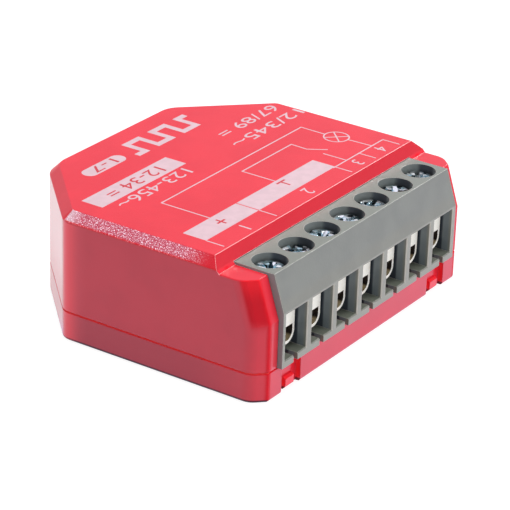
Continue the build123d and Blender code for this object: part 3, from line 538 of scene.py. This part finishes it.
def case_red():
    """The case's red: sand-blasted on the bevels at the left and right, smooth on the top and the
    front slope, glossy on the walls. It has painted light: a faint glow, though it is no lamp, in
    the seam's groove, in the notches, in the grain's specks and where the side walls turn at the
    rear."""
    material, tree, shader, where = start_material("case_red")
    at = case_masks(tree, where)
    blasted = grained(tree, where, 0.125)
    smooth = grained(tree, where, 0.5, 6.0)
    edges = softened(tree, CASE_EDGE)
    # Painted glints: the grain's specks on the bevel strips are paled and glow faintly.
    lit_grain = product(tree, at.strip, blasted["Speck"])

    coat = maths(tree, "MULTIPLY_ADD", greatest(tree, at.matt, at.rich), -0.4, 0.4)
    coat = maths(tree, "ADD", coat, maths(tree, "MULTIPLY", at.cut, 0.35), clamp=True)
    level = maths(tree, "MULTIPLY_ADD", at.matt, -0.22, 0.5)
    for mask, change in ((at.seam, -0.22), (at.rich, -0.3), (at.cut, 0.3)):
        level = maths(tree, "MULTIPLY_ADD", mask, change, level)
    # Painted glow: faint emission standing in for light in the grain's specks, the seam's groove,
    # the notches and the walls' rear turns.
    painted_glow = maths(tree, "MULTIPLY", lit_grain, 0.32)
    for mask, strength in ((greatest(tree, at.notch, at.groove), 0.07), (at.turn, 0.2)):
        painted_glow = maths(tree, "MULTIPLY_ADD", mask, strength, painted_glow)

    roughened = maths(tree, "MULTIPLY_ADD", at.rim, 0.8, maths(tree, "MULTIPLY", at.top, 0.15))
    fine = bump(tree, smooth["Height"], 0.12, 0.01 * MM, edges["Normal"])
    feed(tree, shader, {
        "Base Color": case_colour(tree, at, smooth["Drift"], lit_grain, edges["Edge"]),
        "Roughness": maths(tree, "MULTIPLY_ADD", at.top, 0.06, 0.28),
        "Specular IOR Level": level,
        "Coat Weight": coat,
        "Coat Roughness": 0.12,
        "Emission Color": blend_colours(tree, spread(tree, at.rim, 0.0, 0.05),
                                        (1.0, 0.06, 0.06, 1.0), (1.0, 0.78, 0.88, 1.0)),
        "Emission Strength": painted_glow,
        "Normal": bump(tree, blasted["Height"], roughened, 0.1 * MM, fine)})
    return material


def wound_copper():
    """Enamelled copper wire in close turns, across Z on the choke and across X on the relay, with
    painted shade darkening the colour between the turns.
    """
    material, tree, shader, where = start_material("enamelled_copper")
    pitch = 0.2 * MM
    place = place_of(tree, where)
    choke = spread(tree, place["X"], CHOKE_RIGHT + 0.2 * MM, CHOKE_RIGHT + 0.1 * MM)
    along = maths(tree, "MULTIPLY_ADD", choke, maths(tree, "SUBTRACT", place["Z"], place["X"]),
                  place["X"])
    turns = maths(tree, "SINE", maths(tree, "MULTIPLY", along, math.tau / pitch))
    marks = marked(tree, where, 8.0)
    enamel = blend_colours(tree, marks["Dull"], rgb(200, 104, 54), rgb(178, 90, 46))
    # Painted shade: the colour darkens between the turns.
    feed(tree, shader, {
        "Base Color": blend_colours(tree, spread(tree, turns, -1.0, 0.3), rgb(96, 40, 22), enamel),
        "Metallic": 0.8,
        "Roughness": spread(tree, marks["Dull"], 0.0, 1.0, 0.3, 0.4),
        "Normal": bump(tree, turns, 0.6, 0.03 * MM)})
    return material


def ink(name, colour):
    """Printed ink: slightly uneven cover over the grain below."""
    material, tree, shader, where = start_material(name)
    marks = grained(tree, where, 0.16, 1.2)
    thin = tuple(0.93 * part for part in colour[:3]) + (1.0,)
    feed(tree, shader, {
        "Base Color": blend_colours(tree, marks["Drift"], colour, thin),
        "Roughness": 0.5,
        "Normal": bump(tree, marks["Height"], 0.3, 0.02 * MM)})
    return material


def clear_resin():
    """Clear moulded resin of the small light."""
    material, tree, shader, where = start_material("clear_resin")
    marks = grained(tree, where, 0.3)
    feed(tree, shader, {
        "Base Color": blend_colours(tree, marks["Drift"], rgb(225, 235, 240), rgb(240, 240, 232)),
        "Roughness": 0.1,
        "Transmission Weight": 0.7,
        "Normal": bump(tree, marks["Height"], 0.2, 0.01 * MM)})
    return material


def finishes():
    """One material for each slot of the record. A moulded one is given its two colours, roughness,
    grain and depth; a plated one its colour, dull colour, roughness, fineness and depth."""
    return {
        "shell_red": case_red(),
        "block_grey": block_grey(),
        "cage_steel": cage_nickel(),
        "screw_steel": screw_zinc(),
        "light_clear": clear_resin(),
        "wound_copper": wound_copper(),
        "board_green": moulded("solder_resist", rgb(20, 84, 48), rgb(14, 70, 42), 0.3, 0.4, 0.01),
        "button_red": moulded("button_red", rgb(214, 32, 46), rgb(206, 28, 44), 0.3, 0.3, 0.01),
        "switch_black": moulded("moulded_black", rgb(36, 36, 38), rgb(30, 30, 32), 0.5, 0.2, 0.02),
        "relay_shell": moulded("relay_shell", rgb(28, 30, 34), rgb(24, 26, 30), 0.35, 0.3, 0.01),
        "bobbin_plastic": moulded("bobbin_plastic", rgb(226, 222, 210), rgb(216, 210, 196),
                                  0.5, 0.3, 0.01),
        "ferrite": moulded("sintered_ferrite", rgb(58, 58, 60), rgb(48, 48, 50), 0.6, 0.15, 0.04),
        "varistor_coat": moulded("dipped_blue", rgb(36, 66, 150), rgb(30, 56, 132),
                                 0.25, 0.8, 0.03),
        "resistor_coat": moulded("cement_green", rgb(92, 128, 110), rgb(82, 116, 100),
                                 0.6, 0.2, 0.03),
        "chip_black": moulded("chip_black", rgb(30, 30, 30), rgb(24, 24, 25), 0.55, 0.12, 0.02),
        "bar_brass": plated("bar_tinned", rgb(190, 184, 168), rgb(150, 140, 112), 0.3, 5.0, 0.01),
        "can_sleeve": plated("drawn_can", rgb(178, 180, 184), rgb(168, 170, 175),
                             0.35, 14.0, 0.005),
        "tinned_wire": plated("tinned_wire", rgb(196, 196, 198), rgb(164, 164, 168),
                              0.3, 6.0, 0.01),
        "iron": plated("plated_iron", rgb(176, 176, 172), rgb(140, 140, 136), 0.35, 4.0, 0.01),
        "spring_bronze": plated("rolled_bronze", rgb(202, 150, 92), rgb(176, 124, 72),
                                0.3, 6.0, 0.01),
        "contact_silver": plated("contact_silver", rgb(222, 222, 220), rgb(190, 190, 190),
                                 0.25, 6.0, 0.01),
        "can_steel": plated("tinned_sheet", rgb(191, 189, 183), rgb(182, 180, 174),
                            0.3, 14.0, 0.005),
    }


def dress_nodes():
    """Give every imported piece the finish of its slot."""
    made = finishes()
    slot_of = {row["node"]: row["material_slot"] for row in frame["record"]["subparts"]}
    for name, node in frame["nodes"].items():
        for slot in node.material_slots:
            slot.material = made[slot_of[name]]


# Print on the top: how thick the ink is, how far each coat stands above or sinks into the last,
# and the hair between plates of one coat

INK = 0.012 * MM
INK_LIFT = 0.004 * MM
LAYER = 0.00002 * MM

# Widths of its lines in mm
LINE, PULSE_LINE, SYMBOL_LINE = 0.17, 0.8, 0.26


def printed(name, mesh, material):
    """Make a mesh a piece of the print."""
    mesh.materials.clear()
    mesh.materials.append(material)
    piece = bpy.data.objects.new(name, mesh)
    bpy.context.scene.collection.objects.link(piece)
    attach(piece, "housing")


def plates(name, outlines, z, material):
    """Thin plates: each closed outline, rows of (x, y) in mm with y counted from the terminal
    block's front, is a lower and an upper ring of points at z and z + INK, with the corner i joined
    to i + 1 by an upright face. Each plate lies a hair above the last, so that lines that cross
    share no face."""
    points, faces, start = [], [], 0
    for outline in outlines:
        edge = np.asarray(outline, float) + (0, FRONT / MM)
        following = np.roll(edge, -1, 0)
        if np.sum(edge[:, 0] * following[:, 1] - following[:, 0] * edge[:, 1]) < 0:
            edge = edge[::-1]
        count = len(edge)
        levels = np.repeat([z, z + INK], count) + len(faces) * LAYER
        points.append(np.column_stack([np.tile(edge * MM, (2, 1)), levels]))
        low = start + np.arange(count)
        after = np.roll(low, -1)
        faces += [(low + count).tolist(), low[::-1].tolist()]
        faces += np.column_stack([low, after, after + count, low + count]).tolist()
        start += 2 * count
    mesh = bpy.data.meshes.new(name)
    mesh.from_pydata(np.concatenate(points), [], faces)
    printed(name, mesh, material)


def bar(x0, x1, y0, y1):
    """Rectangle from two corners."""
    return np.array([(x0, y0), (x1, y0), (x1, y1), (x0, y1)], float)


def ribbon(points, width):
    """Line of a width along points, with mitred corners: p + w/2 (n1 + n2) / (1 + n1.n2) on its
    left side and p minus that on its right, n1 and n2 being the normals of the runs that meet."""
    line = np.asarray(points, float)
    run = np.diff(line, axis=0)
    run /= np.linalg.norm(run, axis=1)[:, None]
    normal = np.column_stack([-run[:, 1], run[:, 0]])
    before, after = np.vstack([normal[:1], normal]), np.vstack([normal, normal[-1:]])
    mitre = (before + after) / (1 + np.sum(before * after, 1))[:, None] * width / 2
    return np.concatenate([line + mitre, (line - mitre)[::-1]])


def arc(x, y, radius, start, end, steps):
    """Points (x + r cos a, y + r sin a) on an arc, angles in degrees."""
    angles = np.radians(np.linspace(start, end, steps))
    return np.column_stack([x + radius * np.cos(angles), y + radius * np.sin(angles)])


def pill(x0, x1, y0, y1):
    """Bar with half-round ends."""
    r = (y1 - y0) / 2
    y = (y0 + y1) / 2
    return np.concatenate([arc(x1 - r, y, r, -90, 90, 13), arc(x0 + r, y, r, 90, 270, 13)])


def lettering(name, words, right, far, high, z, material, length=None):
    """Plain figures read from the rear: the first stands at x = right, its foot's y is far from the
    block's front, and it is high mm tall. With a length, the run is stretched to it; else the
    figures keep their own width."""
    data = bpy.data.curves.new(name, "FONT")
    data.body = words
    data.extrude = 0.5
    data.resolution_u = 4
    text = bpy.data.objects.new(name, data)
    bpy.context.scene.collection.objects.link(text)
    bpy.context.view_layer.update()
    mesh = bpy.data.meshes.new_from_object(text)
    bpy.data.objects.remove(text)
    flat = np.empty(len(mesh.vertices) * 3)
    mesh.vertices.foreach_get("co", flat)
    flat = flat.reshape(-1, 3)
    low, top = flat.min(0), flat.max(0)
    tall = high / (top[1] - low[1])
    wide = length / (top[0] - low[0]) if length else tall
    placed = np.column_stack([right - (flat[:, 0] - low[0]) * wide,
                              far + FRONT / MM - (flat[:, 1] - low[1]) * tall,
                              (flat[:, 2] - low[2]) / (top[2] - low[2]) * INK / MM]) * MM
    placed[:, 2] += z
    mesh.vertices.foreach_set("co", placed.ravel())
    mesh.update()
    printed(name, mesh, material)


def print_top():
    """All the print on the top face, in mm: white ink sunk a little into the face, and red ink sunk
    a little into the white."""
    white = ink("ink_white", rgb(219, 187, 195))
    red = ink("ink_red", rgb(202, 24, 44))
    low, high = ROOF - INK_LIFT, ROOF + INK_LIFT

    plates("print_bars", [bar(-17.5, -1.9, 24.3, 27.2), bar(-17.5, -7.58, 10.45, 13.5),
                          bar(-7.42, 7.88, 10.45, 13.5), pill(-11.7, -4.65, 30.25, 32.2)],
           low, white)
    lamp_x, lamp_y, lamp_radius = 15.4, 15.1, 1.5
    half = lamp_radius * math.sqrt(0.5)
    lines = [[(-12.5, 13.5), (-12.5, 20.0), (15.33, 20.0), (15.25, 16.6)],
             [(15.55, 13.6), (15.7, 10.4)], [(7.4, 10.4), (18.1, 10.4)],
             [(0.2, 13.5), (0.2, 18.0), (10.25, 18.0), (10.15, 15.8), (11.55, 13.8)],
             [(10.25, 13.6), (10.25, 10.5)],
             [(lamp_x - half, lamp_y - half), (lamp_x + half, lamp_y + half)],
             [(lamp_x - half, lamp_y + half), (lamp_x + half, lamp_y - half)]]
    lines += [[(x, 10.4), (x, 8.1)] for x in (-17.5, -7.5, 7.8, 12.9, 18.1)]
    lines.append(arc(lamp_x, lamp_y, lamp_radius, 0, 360, 33))
    plates("print_lines", [ribbon(points, LINE) for points in lines], low, white)
    pulse = [(-3.4, 30.1), (-1.8, 30.1), (-1.8, 32.9), (0.7, 32.9), (0.7, 30.1), (3.2, 30.1),
             (3.2, 32.9), (5.7, 32.9), (5.7, 30.1), (8.2, 30.1), (8.2, 32.9), (9.8, 32.9)]
    plates("print_pulse", [ribbon(pulse, PULSE_LINE)], low, white)
    plus = [[(-13.2, 12.0), (-11.8, 12.0)], [(-12.5, 11.3), (-12.5, 12.7)]]
    branch = [[(-0.4, 12.9), (1.2, 12.9)], [(0.4, 12.9), (0.4, 11.6)]]
    plates("print_symbols", [ribbon(points, SYMBOL_LINE) for points in plus + branch], high, red)
    for name, words, right, far, tall, z, material, length in (
            ("figures_bar", "12-34 =", -4.8, 26.6, 1.75, high, red, 9.7),
            ("figures_pill", "1-7", -6.1, 31.95, 1.4, high, red, 4.2),
            ("figures_left", "123-456~", -3.3, 23.9, 1.7, low, white, 12.6),
            ("figures_right_1", "12/345~", 19.6, 23.9, 1.7, low, white, 13.6),
            ("figures_right_2", "67/89 =", 18.8, 26.9, 1.7, low, white, 11.4)):
        lettering(name, words, right, far, tall, z, material, length)
    for number, right in enumerate((-12.0, 0.7, 11.0, 16.2), 1):
        lettering(f"figure_terminal_{number}", str(number), right, 9.9, 1.6, low, white)


# Floor, light and camera

def surroundings(tree, seen, mirrored, lit):
    """Colour that is one value to the camera and through glass, another to mirrors, and a third
    to everything that is lit."""
    path = tree.nodes.new("ShaderNodeLightPath").outputs
    shown = greatest(tree, path["Is Camera Ray"], path["Is Transmission Ray"])
    unseen = blend_colours(tree, path["Is Glossy Ray"], (lit, lit, lit, 1.0), mirrored)
    return blend_colours(tree, shown, unseen, (seen, seen, seen, 1.0))


def staged_sheet(name, corners, material):
    """A flat four-cornered sheet that belongs to the studio."""
    mesh = bpy.data.meshes.new(name)
    mesh.from_pydata(corners, [], [(0, 1, 2, 3)])
    mesh.materials.append(material)
    made = bpy.data.objects.new(name, mesh)
    bpy.context.scene.collection.objects.link(made)
    return made


def floor():
    """Pale floor that stays white to the camera and keeps a soft shadow. Mirrors see it a little
    darker behind the part's rear-left corner."""
    material, tree, shader, where = start_material("floor_white")
    marks = grained(tree, where, 2.0, 60.0)
    place = place_of(tree, where)
    behind = product(tree, spread(tree, place["X"], -0.026, -0.016),
                     spread(tree, place["Y"], 0.008, 0.014))
    mirrored = blend_colours(tree, behind, (0.92, 0.85, 1.12, 1.0), (0.84, 0.81, 0.84, 1.0))
    feed(tree, shader, {
        "Base Color": blend_colours(tree, marks["Drift"], (0.30, 0.30, 0.30, 1),
                                    (0.29, 0.29, 0.29, 1)),
        "Roughness": 1.0,
        "Specular IOR Level": 0.0,
        "Emission Color": surroundings(tree, 0.85, mirrored, 0.0),
        "Emission Strength": 1.0})
    half = 1.5
    made = staged_sheet("floor", [(-half, -half, 0), (half, -half, 0), (half, half, 0),
                                  (-half, half, 0)], material)
    made.location.z = cad_low.z - 0.02 * MM


def dark_card():
    """Black card that only mirrors see, so that steep fronts keep their full colour."""
    name, low, high = "front_card", 0.02, 0.9
    material, tree, shader, where = start_material(name)
    marks = grained(tree, where, 5.0, 50.0)
    feed(tree, shader, {
        "Base Color": blend_colours(tree, marks["Drift"], (0.01, 0.01, 0.01, 1),
                                    (0.014, 0.014, 0.014, 1)),
        "Roughness": 1.0})
    made = staged_sheet(name, [(-1.2, -0.6, low), (0.6, -1.0, low), (0.6, -1.0, high),
                               (-1.2, -0.6, high)], material)
    made.visible_camera = False
    made.visible_diffuse = False
    made.visible_shadow = False
    made.visible_transmission = False


def world():
    """White to the camera and to mirrors, a low even light on everything else."""
    made = bpy.data.worlds.new("studio")
    bpy.context.scene.world = made
    made.use_nodes = True
    tree = made.node_tree
    tree.nodes.clear()
    back = add(tree, "ShaderNodeBackground",
               {"Color": surroundings(tree, 1.0, (0.88, 0.86, 1.0, 1.0), 0.25)})
    add(tree, "ShaderNodeOutputWorld", {0: back.outputs[0]})


def softbox(name, place, aim, size, power, mirrored=False, lighting=True):
    """Rectangular lamp aimed at a point; mirrored says if glossy surfaces reflect it, and lighting
    if it lights the rest."""
    lamp = bpy.data.lights.new(name, "AREA")
    lamp.shape = "RECTANGLE"
    lamp.size, lamp.size_y = size
    lamp.energy = power
    made = bpy.data.objects.new(name, lamp)
    made.location = place
    made.rotation_euler = (Vector(aim) - Vector(place)).to_track_quat("-Z", "Y").to_euler()
    made.visible_camera = False
    made.visible_glossy = mirrored
    made.visible_diffuse = lighting
    bpy.context.scene.collection.objects.link(made)


def camera():
    """The photograph's camera: place, direction, roll and lens."""
    place = Vector((-221.3, -149.5, 130.5)) * MM
    azimuth, elevation, roll = -56.45, 25.16, 1.89
    focal_pixels, frame_pixels = 2571.1, 510
    data = bpy.data.cameras.new("camera")
    data.sensor_width = 36.0
    data.lens = focal_pixels / frame_pixels * data.sensor_width
    data.clip_start, data.clip_end = 0.01, 10.0
    made = bpy.data.objects.new("camera", data)
    turn = (Matrix.Rotation(math.radians(azimuth), 4, "Z")
            @ Matrix.Rotation(math.radians(90 - elevation), 4, "X")
            @ Matrix.Rotation(math.radians(roll), 4, "Z"))
    made.matrix_world = Matrix.Translation(place) @ turn
    bpy.context.scene.collection.objects.link(made)
    bpy.context.scene.camera = made


def studio():
    """Floor, world, lamps, dark card and camera."""
    floor()
    world()
    middle, foot = (0, 0, 0.01), (0, 0, 0)
    softbox("top_light", (0.05, 0.0, 0.5), foot, (0.45, 0.45), 1.85)
    softbox("front_light", (0.2, -0.5, 0.2), middle, (0.4, 0.3), 1.45)
    softbox("near_light", (-0.3, -0.45, 0.15), middle, (0.2, 0.2), 0.68)
    softbox("rear_light", (-0.15, 0.42, 0.35), middle, (0.3, 0.3), 0.6)
    softbox("edge_light", (0.52, 0.05, 0.44), foot, (0.12, 0.12), 3.0, mirrored=True,
            lighting=False)
    dark_card()
    camera()
    bpy.context.scene.view_settings.view_transform = "Standard"


dress_nodes()
print_top()
studio()
